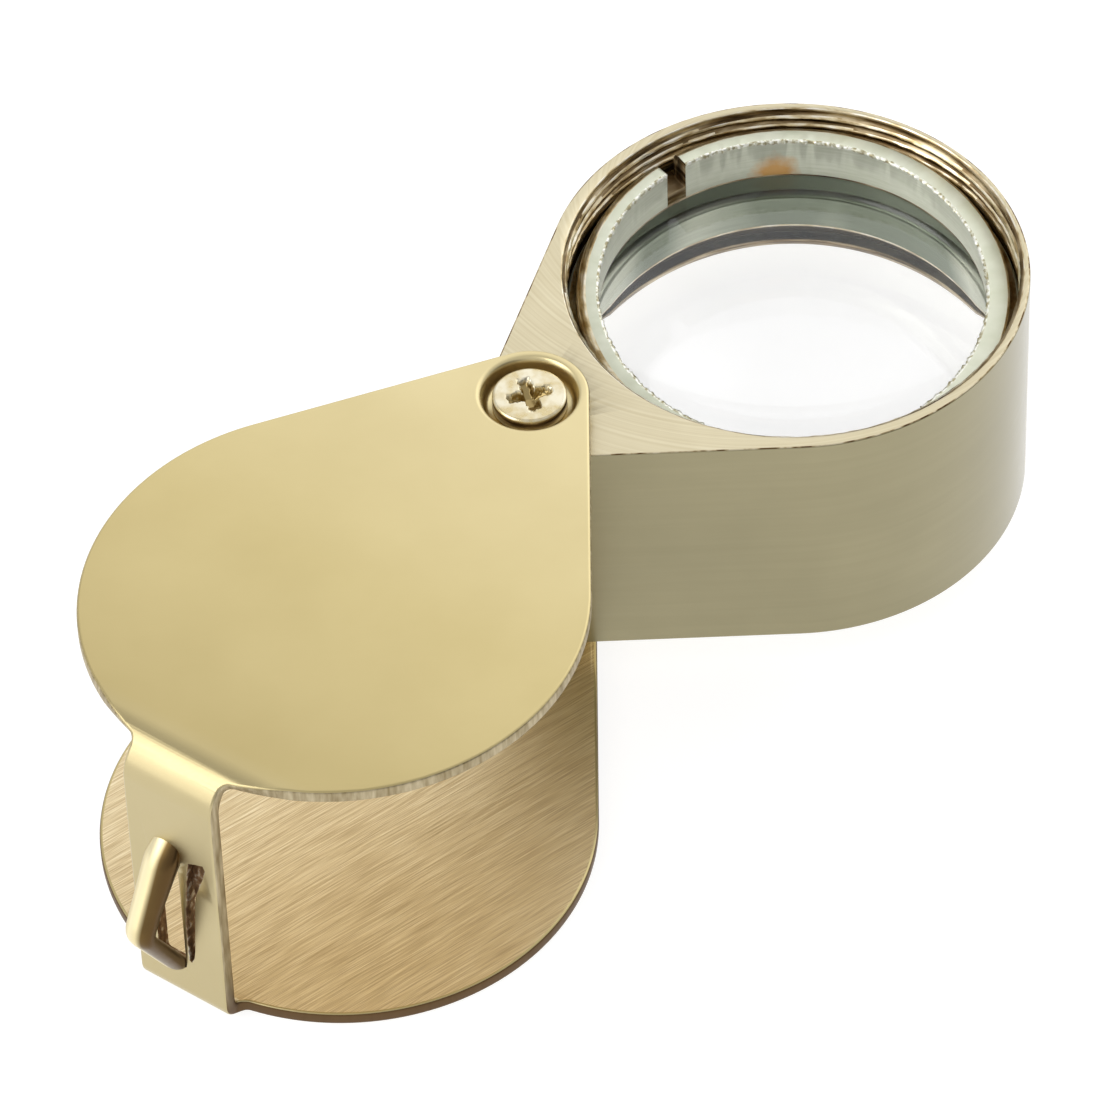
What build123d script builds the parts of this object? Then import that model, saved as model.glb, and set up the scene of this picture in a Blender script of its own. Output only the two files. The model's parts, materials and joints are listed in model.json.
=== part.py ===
"""Folding jeweler's loupe: a lens housing that swings out of a folded sheet-metal case.

Frame: millimetres, +Z up. The origin is on the underside of the case's lower plate, at the centre of
its round end. The case lies along X: its folded web is at -X and its pivot at +X. The housing is
modelled swung open, at housing_angle about the pivot.
"""
from build123d import *
from math import cos, radians, sin
import os

os.makedirs("parts", exist_ok=True)

# Case: one strip of sheet, folded into a U
sheet = 0.75
case_radius = 12.75
case_height = 17.7
pivot_x = 16.8
pivot_end_radius = 3.05
web_outer_x = -13.7
web_width = 5.4
web_offset = 0.25
top_bend_radius = 2.3
foot_bend_radius = 1.2
corner_radius = 0.6

# Bail: a strap pressed out of the web, beside the slit that its punch cut
bail_y_low = -0.05
bail_width = 1.6
bail_thickness = 0.9
bail_bottom_z = 2.4
bail_top_z = 11.4
bail_apex_x = -16.4
bail_apex_z = 7.1
bail_apex_radius = 1.2
window_margin = 0.4
window_side_gap = 0.05

# Lens housing: a milled block, threaded for one retaining ring
housing_angle = -17.9
housing_radius = 12.5
housing_reach = 16.65
housing_end_radius = 2.85
housing_height = 14.1
bore_offset = 0.3
thread_radius = 11.9
thread_depth = 0.28
thread_pitch = 0.6
ring_seat_depth = 3.2
lens_bore_radius = 11.0
lip_radius = 10.3
lip_thickness = 0.9

# Retaining ring
ring_inner_radius = 10.1
ring_collar_radius = 11.25
ring_flange_height = 0.8
ring_top_depth = 1.5
ring_top_slope = 5.0
ring_high_side = 50.0
ring_slot_angle = 71.0
ring_slot_width = 1.2
ring_slot_floor = 0.85

# Lenses and their spacer
lens_clearance = 0.05
lens_curvature = 40.0
lens_edge = 3.3
spacer_inner_radius = 10.3

# Pivot screws and the dimples that they sit in
dimple_depth = 0.95
dimple_mouth_radius = 2.5
dimple_floor_radius = 2.2
dimple_back_radius = 2.85
pivot_hole_radius = 1.35
shoulder_radius = 1.3
head_radius = 1.9
head_clearance = 0.03
head_below_face = 0.05
screw_thread_radius = 1.0
screw_thread_depth = 0.2
screw_thread_pitch = 0.4
screw_length = 4.4
tapped_depth = 5.2
thread_clearance = 0.02
cross_length = 2.3
cross_width = 0.5
cross_depth = 0.55

# Worked-out sizes
mid_z = case_height / 2
housing_bottom_z = mid_z - housing_height / 2
housing_top_z = mid_z + housing_height / 2
ring_bottom_z = housing_top_z - ring_seat_depth
lip_top_z = housing_bottom_z + lip_thickness
lens_radius = lens_bore_radius - lens_clearance
seat_rise = (lens_curvature**2 - spacer_inner_radius**2) ** 0.5 - (lens_curvature**2 - lens_radius**2) ** 0.5
spacer_bottom_z = lip_top_z + lens_edge + seat_rise
spacer_height = ring_bottom_z + lip_top_z - 2 * spacer_bottom_z
head_bottom_z = case_height - dimple_depth + head_clearance
head_top_z = case_height - head_below_face

turn = radians(housing_angle)
bore_reach = housing_reach + bore_offset
bore_x = pivot_x + bore_reach * cos(turn)
bore_y = bore_reach * sin(turn)

pivot_axis = Axis((pivot_x, 0, 0), (0, 0, 1))
bore_axis = Axis((bore_x, bore_y, 0), (0, 0, 1))
pivot_section = Plane(origin=(pivot_x, 0, 0), x_dir=(1, 0, 0), z_dir=(0, -1, 0))
bore_section = Plane(origin=(bore_x, bore_y, 0), x_dir=(1, 0, 0), z_dir=(0, -1, 0))
housing_plane = Plane(origin=(pivot_x, 0, 0), x_dir=(cos(turn), sin(turn), 0), z_dir=(0, 0, 1))
bore_plane = Plane(origin=(bore_x, bore_y, 0))
upside_down = Plane.XY.offset(mid_z)


def thread_profile(axis_radius, outer, depth, pitch, z_low, z_high):
    """Points (radius, z) of a zigzag thread section, from z_low up to z_high, closed back at axis_radius."""
    turns = int((z_high - z_low) / pitch)
    first_z = z_high - turns * pitch
    points = [(axis_radius, z_low), (outer - depth, z_low)]
    if first_z - z_low > 0.01:
        points.append((outer - depth, first_z))
    for turn_number in range(turns):
        points.append((outer, first_z + (turn_number + 0.5) * pitch))
        points.append((outer - depth, first_z + (turn_number + 1) * pitch))
    points.append((axis_radius, z_high))
    return points


def finish(builder, name):
    """Label a finished piece and write it as one STEP file."""
    builder.part.label = name
    export_step(builder.part, f"parts/{name}.step")


# Case blank: teardrop outline with the tab that becomes the web, cut through the folded U
with BuildPart() as case:
    with BuildSketch():
        Circle(case_radius)
        with Locations((pivot_x, 0)):
            Circle(pivot_end_radius)
        make_hull()
        with Locations((web_outer_x, web_offset)):
            Rectangle(case_radius, web_width, align=(Align.MIN, Align.CENTER))
        inner_corners = vertices().group_by(Axis.X)[1]
        fillet(inner_corners, corner_radius)
    extrude(amount=case_height)
    with BuildSketch(Plane.XZ):
        with Locations((web_outer_x, 0)):
            Rectangle(3 * case_radius, case_height, align=(Align.MIN, Align.MIN))
        fillet(vertices().group_by(Axis.X)[0].sort_by(Axis.Y)[-1], top_bend_radius)
        fillet(vertices().group_by(Axis.X)[0].sort_by(Axis.Y)[0], foot_bend_radius)
        with BuildSketch(mode=Mode.SUBTRACT):
            with Locations((web_outer_x + sheet, sheet)):
                Rectangle(3 * case_radius, case_height - 2 * sheet, align=(Align.MIN, Align.MIN))
            fillet(vertices().group_by(Axis.X)[0].sort_by(Axis.Y)[-1], top_bend_radius - sheet)
            fillet(vertices().group_by(Axis.X)[0].sort_by(Axis.Y)[0], foot_bend_radius - sheet)
    extrude(amount=case_radius, both=True, mode=Mode.INTERSECT)

    # Pivot dimples, pressed in on both sides and pierced for the screw shoulders
    for outside_z, direction in ((case_height, -1), (0, 1)):
        inside_z = outside_z + direction * sheet
        floor_z = outside_z + direction * dimple_depth
        back_z = inside_z + direction * dimple_depth
        with BuildSketch(pivot_section):
            with BuildLine():
                Polyline((0, inside_z), (dimple_back_radius, inside_z), (dimple_back_radius, back_z),
                         (0, back_z), close=True)
            make_face()
        revolve(axis=pivot_axis)
        with BuildSketch(pivot_section):
            with BuildLine():
                Polyline((0, outside_z), (dimple_mouth_radius, outside_z),
                         (dimple_floor_radius, floor_z), (0, floor_z), close=True)
            make_face()
        revolve(axis=pivot_axis, mode=Mode.SUBTRACT)
    with BuildSketch():
        with Locations((pivot_x, 0)):
            Circle(pivot_hole_radius)
    extrude(amount=case_height, mode=Mode.SUBTRACT)

    # Window behind the bail, and the ragged slit beside it
    with BuildSketch(Plane.YZ.offset(web_outer_x)):
        with Locations((bail_y_low + bail_width / 2, (bail_bottom_z + bail_top_z) / 2)):
            Rectangle(bail_width + 2 * window_side_gap, bail_top_z - bail_bottom_z - 2 * window_margin)
        with BuildLine():
            Polyline((-0.72, 11.3), (-1.75, 11.7), (-1.58, 10.7), (-1.1, 9.2), (-0.88, 7.2), (-0.7, 4.9),
                     (-0.5, 3.5), (-0.3, 3.7), (-0.3, 6.8), (-0.5, 8.6), (-0.7, 10.0), close=True)
        make_face()
    extrude(amount=sheet, mode=Mode.SUBTRACT)

    # Bail strap
    with BuildSketch(Plane.XZ.offset(-bail_y_low)):
        with BuildLine():
            FilletPolyline(
                (web_outer_x + sheet / 2, bail_top_z),
                (bail_apex_x, bail_apex_z),
                (web_outer_x + sheet / 2, bail_bottom_z),
                radius=bail_apex_radius,
            )
        trace(line_width=bail_thickness)
    extrude(amount=-bail_width)
finish(case, "case")


with BuildPart() as housing:
    with BuildSketch(housing_plane.offset(housing_bottom_z)):
        with Locations((housing_reach, 0)):
            Circle(housing_radius)
        Circle(housing_end_radius)
        make_hull()
    extrude(amount=housing_height)
    with BuildSketch(bore_section):
        with BuildLine():
            Polyline(thread_profile(0, thread_radius, thread_depth, thread_pitch, ring_bottom_z,
                                    housing_top_z), close=True)
        make_face()
    revolve(axis=bore_axis, mode=Mode.SUBTRACT)
    with BuildSketch(bore_plane.offset(lip_top_z)):
        Circle(lens_bore_radius)
    extrude(amount=ring_bottom_z - lip_top_z, mode=Mode.SUBTRACT)
    with BuildSketch(bore_plane.offset(housing_bottom_z)):
        Circle(lip_radius)
    extrude(amount=lip_thickness, mode=Mode.SUBTRACT)
    with BuildSketch(pivot_section):
        with BuildLine():
            Polyline(thread_profile(0, screw_thread_radius, screw_thread_depth, screw_thread_pitch,
                                    housing_top_z - tapped_depth, housing_top_z), close=True)
        make_face()
    revolve(axis=pivot_axis, mode=Mode.SUBTRACT)
    with BuildSketch(pivot_section):
        with BuildLine():
            Polyline(thread_profile(0, screw_thread_radius, screw_thread_depth, screw_thread_pitch,
                                    housing_bottom_z, housing_bottom_z + tapped_depth), close=True)
        make_face()
    revolve(axis=pivot_axis, mode=Mode.SUBTRACT)
finish(housing, "housing")


# Retaining ring: a threaded flange, with a plain collar whose top was cut off at a slope
with BuildPart() as retaining_ring:
    flange_top_z = ring_bottom_z + ring_flange_height
    with BuildSketch(bore_section):
        with BuildLine():
            Polyline(thread_profile(ring_inner_radius, thread_radius - thread_clearance, thread_depth,
                                    thread_pitch, ring_bottom_z, flange_top_z), close=True)
        make_face()
    revolve(axis=bore_axis)
    with BuildSketch(bore_plane.offset(ring_bottom_z)):
        Circle(ring_collar_radius)
        Circle(ring_inner_radius, mode=Mode.SUBTRACT)
    extrude(amount=ring_seat_depth)
    sloped_top = Plane(origin=(bore_x, bore_y, housing_top_z - ring_top_depth)).rotated(
        (0, 0, ring_high_side)).rotated((0, -ring_top_slope, 0))
    split(bisect_by=sloped_top, keep=Keep.BOTTOM)
    with BuildSketch(bore_plane.offset(ring_bottom_z + ring_slot_floor)):
        with Locations(Location((0, 0), ring_slot_angle)):
            Rectangle(3 * thread_radius, ring_slot_width)
    extrude(amount=ring_seat_depth, mode=Mode.SUBTRACT)
finish(retaining_ring, "retaining_ring")


def plano_convex(flat_z, bulge):
    """A lens with its flat face at flat_z, bulging along Z in the direction of bulge (+1 or -1)."""
    sag = lens_curvature - (lens_curvature**2 - lens_radius**2) ** 0.5
    crown_z = flat_z + bulge * (lens_edge + sag)
    with BuildPart() as lens:
        with BuildSketch(bore_plane.offset(flat_z)):
            Circle(lens_radius)
        extrude(amount=bulge * 2 * lens_edge + bulge * sag)
        with Locations((bore_x, bore_y, crown_z - bulge * lens_curvature)):
            Sphere(lens_curvature, mode=Mode.INTERSECT)
    return lens


lens_upper = plano_convex(ring_bottom_z, -1)
finish(lens_upper, "lens_upper")

lens_lower = plano_convex(lip_top_z, 1)
finish(lens_lower, "lens_lower")

with BuildPart() as lens_spacer:
    with BuildSketch(bore_plane.offset(spacer_bottom_z)):
        Circle(lens_radius)
        Circle(spacer_inner_radius, mode=Mode.SUBTRACT)
    extrude(amount=spacer_height)
finish(lens_spacer, "lens_spacer")


# Pivot screws: the head lies in the dimple, the shoulder is the hinge pin, the thread is in the housing
with BuildPart() as pivot_screw_top:
    with BuildSketch(Plane(origin=(pivot_x, 0, head_bottom_z))):
        Circle(head_radius)
    extrude(amount=head_top_z - head_bottom_z)
    with BuildSketch(Plane(origin=(pivot_x, 0, housing_top_z))):
        Circle(shoulder_radius)
    extrude(amount=head_bottom_z - housing_top_z)
    with BuildSketch(pivot_section):
        with BuildLine():
            Polyline(thread_profile(0, screw_thread_radius - thread_clearance, screw_thread_depth,
                                    screw_thread_pitch, housing_top_z - screw_length, housing_top_z),
                     close=True)
        make_face()
    revolve(axis=pivot_axis)
    with BuildSketch(Plane(origin=(pivot_x, 0, head_top_z))):
        Rectangle(cross_length, cross_width)
        Rectangle(cross_width, cross_length)
    extrude(amount=-cross_depth, mode=Mode.SUBTRACT)
finish(pivot_screw_top, "pivot_screw_top")

with BuildPart() as pivot_screw_bottom:
    mirror(pivot_screw_top.part, about=upside_down)
finish(pivot_screw_bottom, "pivot_screw_bottom")
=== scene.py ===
"""Folding jeweler's loupe: the looks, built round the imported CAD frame.

Lengths are in millimetres until a mesh is made, and each drop-shaped body is described in its own plane
before it is put in place."""
import bmesh
import bpy
import json
import random
from math import acos, asin, cos, degrees, hypot, pi, radians, sin, sqrt, tan
from mathutils import Matrix, Vector, noise


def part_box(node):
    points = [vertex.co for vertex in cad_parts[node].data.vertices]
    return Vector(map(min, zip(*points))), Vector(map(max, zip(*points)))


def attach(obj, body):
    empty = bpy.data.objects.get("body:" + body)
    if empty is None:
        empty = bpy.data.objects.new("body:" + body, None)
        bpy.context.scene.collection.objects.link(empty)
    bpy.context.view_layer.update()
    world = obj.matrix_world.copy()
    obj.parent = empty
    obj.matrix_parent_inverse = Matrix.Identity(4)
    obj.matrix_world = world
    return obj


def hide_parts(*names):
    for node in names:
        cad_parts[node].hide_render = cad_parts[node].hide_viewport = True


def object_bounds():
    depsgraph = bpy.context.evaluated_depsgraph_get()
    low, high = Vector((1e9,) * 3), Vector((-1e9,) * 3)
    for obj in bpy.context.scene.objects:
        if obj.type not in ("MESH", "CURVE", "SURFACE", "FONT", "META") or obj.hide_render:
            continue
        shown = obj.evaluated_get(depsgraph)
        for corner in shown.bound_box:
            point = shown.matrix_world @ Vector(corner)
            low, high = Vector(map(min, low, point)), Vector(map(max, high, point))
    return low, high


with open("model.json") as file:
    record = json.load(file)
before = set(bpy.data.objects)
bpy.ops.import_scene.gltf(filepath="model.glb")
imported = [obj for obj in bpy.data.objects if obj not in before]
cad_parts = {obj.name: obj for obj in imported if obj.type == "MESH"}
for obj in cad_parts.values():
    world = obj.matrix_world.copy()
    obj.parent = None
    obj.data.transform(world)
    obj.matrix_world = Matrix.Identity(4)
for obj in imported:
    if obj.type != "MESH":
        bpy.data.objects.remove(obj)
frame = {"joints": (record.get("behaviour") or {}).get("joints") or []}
cad_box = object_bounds()

MM = 0.001

# ---------------------------------------------------------------- driving dimensions, in millimetres
sheet = 0.75
case_radius = 12.74
pivot_x = frame["joints"][0]["pos_m"][0] / MM
pivot_end_radius = 3.05
web_outer_x = -13.7
web_width = 5.4
web_offset = 0.25
top_bend_radius = 2.3
foot_bend_radius = 1.2
corner_radius = 0.6
case_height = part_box("case")[1].z / MM
mid_z = case_height / 2

housing_angle = radians(-17.9)
housing_radius = 12.49
housing_reach = 16.65
housing_end_radius = 2.85
housing_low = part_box("housing")[0].z / MM
housing_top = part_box("housing")[1].z / MM
bore_reach = housing_reach + 0.3
thread_radius = 11.9
thread_depth = 0.28
thread_pitch = 0.6
lens_bore_radius = 11.0
lip_radius = 10.3
lip_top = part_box("lens_lower")[0].z / MM

ring_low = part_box("retaining_ring")[0].z / MM
ring_inner_radius = 10.1
ring_collar_radius = 11.25
ring_flange_height = 0.8
ring_slot_width = 1.2
ring_slot_floor = 0.85

lens_radius = 10.95
lens_curvature = 40.0
lens_edge = 3.3
spacer_inner_radius = 10.3

dimple_depth = 0.95
pivot_hole_radius = 1.35
head_radius = 1.9
head_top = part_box("pivot_screw_top")[1].z / MM

bore_x = pivot_x + bore_reach * cos(housing_angle)
bore_y = bore_reach * sin(housing_angle)
stain_centre = (40.76, 1.16, 13.0)


# ---------------------------------------------------------------- meshes
def mesh_object(name, bm, materials, body, replaced):
    """Turns a bmesh in millimetres into a smooth-shaded piece that stands for CAD nodes."""
    bmesh.ops.remove_doubles(bm, verts=bm.verts, dist=0.0005)
    bmesh.ops.recalc_face_normals(bm, faces=bm.faces)
    bmesh.ops.scale(bm, vec=(MM, MM, MM), verts=bm.verts)
    for face in bm.faces:
        face.smooth = True
    mesh = bpy.data.meshes.new(name)
    bm.to_mesh(mesh)
    bm.free()
    for material in materials:
        mesh.materials.append(material)
    piece = bpy.data.objects.new(name, mesh)
    bpy.context.scene.collection.objects.link(piece)
    normals = piece.modifiers.new("even normals", "WEIGHTED_NORMAL")
    normals.weight = 100
    normals.keep_sharp = True
    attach(piece, body)
    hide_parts(*replaced)
    return piece


def add_ring(bm, points):
    """A closed loop of vertices."""
    return [bm.verts.new(p) for p in points]


def bridge(bm, low, high, material=0):
    """Quads between two loops with the same number of points."""
    count = len(low)
    faces = []
    for i in range(count):
        j = (i + 1) % count
        face = bm.faces.new((low[i], low[j], high[j], high[i]))
        face.material_index = material
        faces.append(face)
    return faces


def fill(bm, loops, material=0):
    """Triangles that fill the flat region between closed loops."""
    edges = []
    for loop in loops:
        for i in range(len(loop)):
            pair = (loop[i], loop[(i + 1) % len(loop)])
            edges.append(bm.edges.get(pair) or bm.edges.new(pair))
    made = bmesh.ops.triangle_fill(bm, edges=edges, use_beauty=True)
    for item in made["geom"]:
        if isinstance(item, bmesh.types.BMFace):
            item.material_index = material


def spin(bm, profile, segments, centre=(0, 0), material=0, closed=False):
    """Turns a profile of (radius, z) points about a vertical axis. Returns its loops."""
    loops = []
    turn = [2 * pi * i / segments for i in range(segments)]
    for radius, z in profile:
        circle = [(centre[0] + radius * cos(a), centre[1] + radius * sin(a), z) for a in turn]
        loops.append(add_ring(bm, circle))
    pairs = list(zip(loops, loops[1:]))
    if closed:
        pairs.append((loops[-1], loops[0]))
    for low, high in pairs:
        bridge(bm, low, high, material)
    return loops


def arc(centre, radius, start, stop, step=3.0):
    """Points on an arc, both ends included. Angles in radians, step in degrees."""
    count = max(2, int(abs(degrees(stop - start)) / step) + 1)
    angles = [start + (stop - start) * i / count for i in range(count + 1)]
    return [(centre[0] + radius * cos(a), centre[1] + radius * sin(a)) for a in angles]


def inset(outline, amount):
    """A closed outline moved inwards by amount. The outline runs anticlockwise."""
    moved = []
    count = len(outline)
    for i in range(count):
        before, after = outline[i - 1], outline[(i + 1) % count]
        dx, dy = after[0] - before[0], after[1] - before[1]
        length = hypot(dx, dy)
        moved.append((outline[i][0] - amount * dy / length, outline[i][1] + amount * dx / length))
    return moved


def edge_profile(low, high, rounding, steps=4):
    """(inset, height) pairs from the lower face to the upper face round two softened edges."""
    quarter = [radians(90 * i / steps) for i in range(steps + 1)]
    lower = [(rounding * (1 - sin(a)), low + rounding * (1 - cos(a))) for a in quarter]
    upper = [(rounding * (1 - sin(a)), high - rounding * (1 - cos(a))) for a in reversed(quarter)]
    return lower + upper


def walls(bm, outline, low, high, rounding, edge_material=0, side_material=0):
    """The side of a flat body, with softened edges. Returns its lowest and highest loops.

    Rows of faces near the middle have the side's material and the rest have the edge's."""
    loops = []
    side_reach = 3
    for amount, height in edge_profile(low, high, rounding):
        loops.append(add_ring(bm, [(x, y, height) for x, y in inset(outline, amount)]))
    middle_row = (len(loops) - 2) / 2
    for row, (lower, upper) in enumerate(zip(loops, loops[1:])):
        steep = abs(row - middle_row) < side_reach
        bridge(bm, lower, upper, side_material if steep else edge_material)
    return loops[0], loops[-1]


# ---------------------------------------------------------------- case
# The fourth finish, on the holes' torn edges and the plate behind the slit, is dark brown painted shade with
# torn flecks.
OUTSIDE, INSIDE, CUT, TORN_AND_SHADE = range(4)
web_mid_x = web_outer_x + sheet / 2


class Bend:
    """One fold of the strip, seen from the middle of the web: side is +1 for the top, -1 for the foot."""

    def __init__(self, side, outer_radius):
        self.side = side
        self.radius = outer_radius - sheet / 2
        self.start = mid_z - outer_radius
        self.length = self.radius * pi / 2
        self.plate_start = self.start + self.length
        self.plate_x = web_outer_x + outer_radius

    def along(self, x):
        """Where a plate's x lies along the unfolded strip."""
        return self.side * (self.plate_start + x - self.plate_x)


top_bend = Bend(1, top_bend_radius)
foot_bend = Bend(-1, foot_bend_radius)


def case_quarter(bend, across):
    """Unfolded outline from the pivot end to the middle of the web. across is +1 or -1, the side in y."""
    tangent = acos((case_radius - pivot_end_radius) / pivot_x)
    rise = web_width / 2 + across * web_offset + corner_radius
    corner_turn = asin(rise / (case_radius + corner_radius))
    corner = (-(case_radius + corner_radius) * cos(corner_turn), rise)
    points = arc((pivot_x, 0), pivot_end_radius, 0, tangent)
    points += arc((0, 0), case_radius, tangent, pi - corner_turn, step=2.0)
    points += arc(corner, corner_radius, -corner_turn, -pi / 2, step=12.0)[1:]
    placed = [(bend.along(x), across * y) for x, y in points]
    placed.append((0, across * (web_width / 2) + web_offset))
    return placed


def case_outline():
    """The whole unfolded outline, anticlockwise: two drops joined by the web."""
    top_far = case_quarter(top_bend, 1)
    foot_far = case_quarter(foot_bend, 1)
    foot_near = case_quarter(foot_bend, -1)
    top_near = case_quarter(top_bend, -1)
    return top_far + foot_far[-2::-1] + foot_near[1:] + top_near[-2:0:-1]


def fold(vertex):
    """Takes a point of the unfolded strip (along, across, out) to its place in the folded case."""
    along, y, out = vertex.co
    bend = top_bend if along >= 0 else foot_bend
    run = abs(along)
    if run <= bend.start:
        x, z = web_mid_x - out, run
    elif run <= bend.plate_start:
        turn = (run - bend.start) / bend.radius
        reach = bend.radius + out
        x = web_mid_x + bend.radius - reach * cos(turn)
        z = bend.start + reach * sin(turn)
    else:
        x = bend.plate_x + run - bend.plate_start
        z = mid_z - sheet / 2 + out
    vertex.co = (x, y, mid_z + bend.side * z)


def dimple_profile():
    """(radius, height out of the sheet's middle) round a pressed dimple, outer face to inner face."""
    face = sheet / 2
    floor = face - dimple_depth
    bulge = floor - sheet
    soft = 0.05
    wall = [(2.78, face), (2.66, face - 0.015), (2.56, face - 0.06), (2.49, face - 0.15), (2.42, face - 0.35)]
    seat = [(2.34, floor + 0.22), (2.26, floor + 0.08), (2.12, floor + 0.015), (1.95, floor)]
    drilled = [(pivot_hole_radius + soft, floor), (pivot_hole_radius, floor - soft),
               (pivot_hole_radius, bulge + soft), (pivot_hole_radius + soft, bulge)]
    inner_wall = [(2.45, bulge), (2.62, bulge + 0.04), (2.7, bulge + 0.16),
                  (2.74, -face - 0.2), (2.78, -face - soft), (2.84, -face)]
    return wall + seat + drilled + inner_wall


def slit_outline():
    """The ragged slit beside the bail, anticlockwise, as (height over the case's foot, y)."""
    rough = random.Random(7)
    lowest, length, steps = 3.6, 7.4, 24
    near_y, raggedness = -0.28, 0.045
    torn = []
    for i in range(steps + 1):
        height = lowest + length * i / steps
        widening = 0.42 * max(0.0, i / steps - 0.4) ** 0.9 * 1.6
        torn.append((height, near_y - widening + rough.uniform(-raggedness, raggedness)))
    clean = [(11.3, -0.78), (11.5, -1.2), (11.68, -1.68), (11.4, -1.78), (10.7, -1.6), (10.0, -1.36),
             (9.2, -1.1), (8.4, -0.96), (7.2, -0.88), (5.6, -0.76), (4.6, -0.7), (3.9, -0.6), (3.5, -0.42)]
    return [(height - mid_z, y) for height, y in reversed(torn + clean)]


def window_outline():
    """The window behind the bail, anticlockwise along the strip."""
    low, high = 2.8 - mid_z, 10.4 - mid_z
    near, far = -0.06, 1.6
    soft, step = 0.2, 30
    points = arc((high - soft, far - soft), soft, 0, pi / 2, step)
    points += arc((low + soft, far - soft), soft, pi / 2, pi, step)
    points += arc((low + soft, near + soft), soft, pi, 1.5 * pi, step)
    points += arc((high - soft, near + soft), soft, 1.5 * pi, 2 * pi, step)
    return points


def hole(bm, outline, rounding):
    """The cut edge of a hole through the unfolded strip. Returns its inner-face and outer-face loops."""
    loops = []
    for amount, height in edge_profile(-sheet / 2, sheet / 2, rounding, steps=2):
        loops.append(add_ring(bm, [(x, y, height) for x, y in inset(outline, -amount)]))
    for lower, upper in zip(loops, loops[1:]):
        bridge(bm, lower, upper, TORN_AND_SHADE)
    return loops[0], loops[-1]


def slit_shade_plate(bm):
    """A small dark plate just inside the web, behind the wide end of the slit: painted shade that closes the
    view through it.
    """
    outline = [(-0.55, 12.0), (-1.95, 12.1), (-1.75, 10.6), (-1.3, 9.0), (-0.85, 7.4), (-0.6, 9.4)]
    front_x, back_x = web_outer_x + 0.42, web_outer_x + sheet - 0.04
    front = add_ring(bm, [(front_x, y, z) for y, z in outline])
    back = add_ring(bm, [(back_x, y, z) for y, z in outline])
    bridge(bm, front, back, TORN_AND_SHADE)
    for loop in (front, back):
        bm.faces.new(loop).material_index = TORN_AND_SHADE


def make_case(finishes):
    """The case's one sheet, cut and pressed flat, then folded at its two bends."""
    bm = bmesh.new()
    edge_rounding, hole_rounding, dimple_segments = 0.16, 0.03, 72
    low, high = walls(bm, case_outline(), -sheet / 2, sheet / 2, edge_rounding, OUTSIDE, CUT)
    inner_loops, outer_loops = [low], [high]
    for outline in (slit_outline(), window_outline()):
        inner, outer = hole(bm, outline, hole_rounding)
        inner_loops.append(inner)
        outer_loops.append(outer)
    for bend in (top_bend, foot_bend):
        loops = spin(bm, dimple_profile(), dimple_segments, (bend.along(pivot_x), 0))
        outer_loops.append(loops[0])
        inner_loops.append(loops[-1])
    fill(bm, outer_loops, OUTSIDE)
    fill(bm, inner_loops, INSIDE)
    folds = 14
    for bend in (top_bend, foot_bend):
        for step in range(folds + 1):
            cut = bend.side * (bend.start + bend.length * step / folds)
            everything = bm.verts[:] + bm.edges[:] + bm.faces[:]
            bmesh.ops.bisect_plane(bm, geom=everything, dist=1e-5,
                                   plane_co=(cut, 0, 0), plane_no=(1, 0, 0))
    for vertex in bm.verts:
        fold(vertex)
    # A dark plate behind the slit, painted shade.
    slit_shade_plate(bm)
    return mesh_object("case_sheet", bm, finishes, "case", ["case"])


def rounded_path(points, radii):
    """A polyline in a plane with each inner corner rounded by an arc."""
    path = [Vector(points[0])]
    for before, corner, after, radius in zip(points, points[1:], points[2:], radii):
        corner = Vector(corner)
        back = (Vector(before) - corner).normalized()
        ahead = (Vector(after) - corner).normalized()
        half = back.angle(ahead) / 2
        centre = corner + (back + ahead).normalized() * radius / sin(half)
        start = (corner + back * radius / tan(half) - centre).normalized()
        stop = (corner + ahead * radius / tan(half) - centre).normalized()
        steps = 8
        for i in range(steps + 1):
            path.append(centre + start.slerp(stop, i / steps) * radius)
    path.append(Vector(points[-1]))
    return path


def strap_section(steps=16):
    """(across, out) round the bail's section: a crowned outer face and a flatter inner one."""
    half_width, crown, shoulder, back = 0.8, 0.58, -0.08, -0.4
    outer = [(half_width * cos(pi * i / steps), shoulder + crown * sin(pi * i / steps) ** 0.8)
             for i in range(steps + 1)]
    return outer + [(-half_width, back + 0.14), (-half_width + 0.14, back), (0, back + 0.04),
                    (half_width - 0.14, back), (half_width, back + 0.14)]


bail_top, bail_foot = 12.35, 2.3


def bail_path():
    """Closely spaced points, as (x, z), down the middle of the strap from its upper root to its lower one."""
    shoulder, elbow = (-14.25, 10.9), (-16.17, 7.25)
    shoulder_radius, elbow_radius, spacing = 3.0, 0.95, 0.2
    path = rounded_path([(web_mid_x, bail_top), shoulder, elbow, (web_mid_x, bail_foot)],
                        (shoulder_radius, elbow_radius))
    spaced = []
    for start, stop in zip(path, path[1:]):
        steps = max(1, int((stop - start).length / spacing))
        spaced += [start.lerp(stop, i / steps) for i in range(steps)]
    spaced.append(path[-1])
    return spaced


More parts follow.
